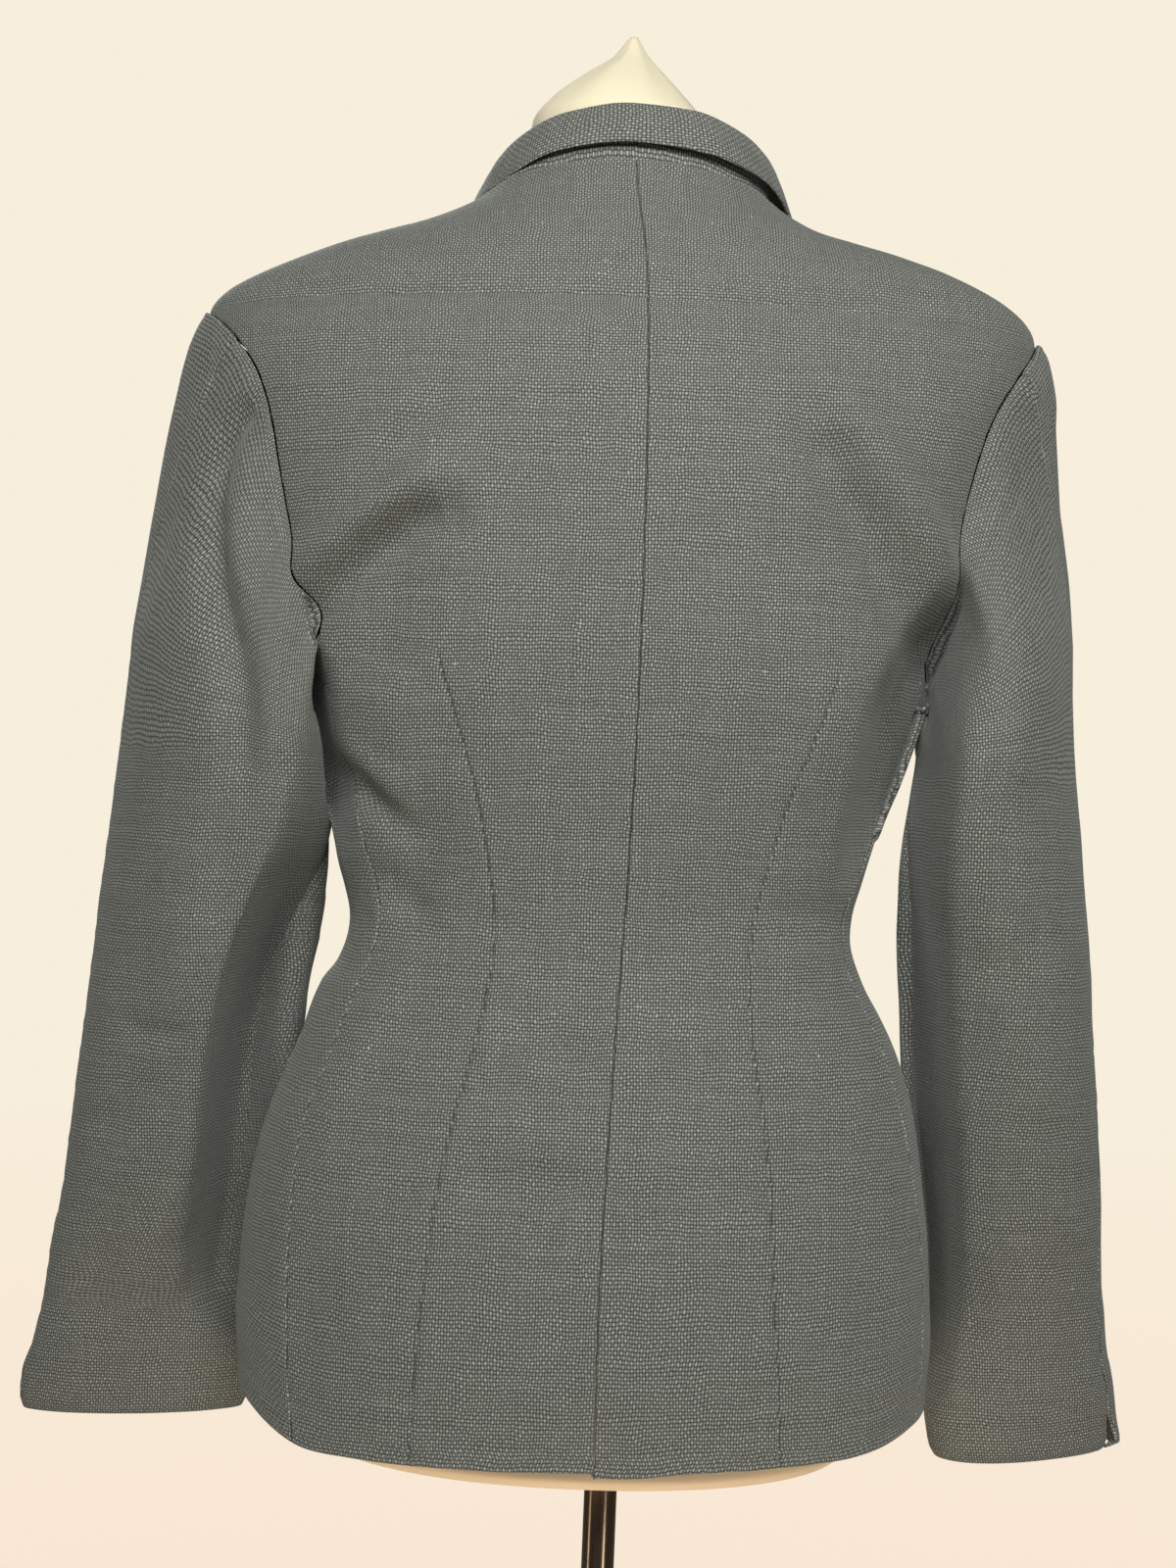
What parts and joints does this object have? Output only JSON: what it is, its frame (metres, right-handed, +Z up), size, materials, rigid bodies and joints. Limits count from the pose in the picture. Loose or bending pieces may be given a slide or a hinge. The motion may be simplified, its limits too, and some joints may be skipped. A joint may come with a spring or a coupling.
{
  "type": "tailored jacket on a dress form",
  "caption": "Fitted single-breasted tailored jacket with a turned collar, lapels, long back darts and long sleeves, worn by a limbless dress form on a round-based stand.",
  "frame": {"origin": "on the floor, in the middle of the stand's round base and on the pole's axis", "axes": "+Z up along the pole, +Y out of the jacket's back, +X towards its left sleeve"},
  "size_m": [0.6478, 0.33, 1.47],
  "materials": {
    "suiting": "coarse basket weave, matt",
    "button": "polished rim",
    "form_cover": "smooth jersey cover",
    "chrome": "polished",
    "base_metal": "satin"
  },
  "bodies": {
    "root": {"back_left": "suiting", "back_right": "suiting", "side_left": "suiting", "side_right": "suiting", "front_left": "suiting", "front_right": "suiting", "lapel_right": "suiting", "lapel_left": "suiting", "sleeve_left_top": "suiting", "sleeve_left_under": "suiting", "sleeve_right_top": "suiting", "sleeve_right_under": "suiting", "collar_stand": "suiting", "collar_fall": "suiting", "button_1": "button", "button_2": "button", "button_3": "button", "form_torso": "form_cover", "stand_pole": "chrome", "stand_base": "base_metal"}
  },
  "joints": []
}
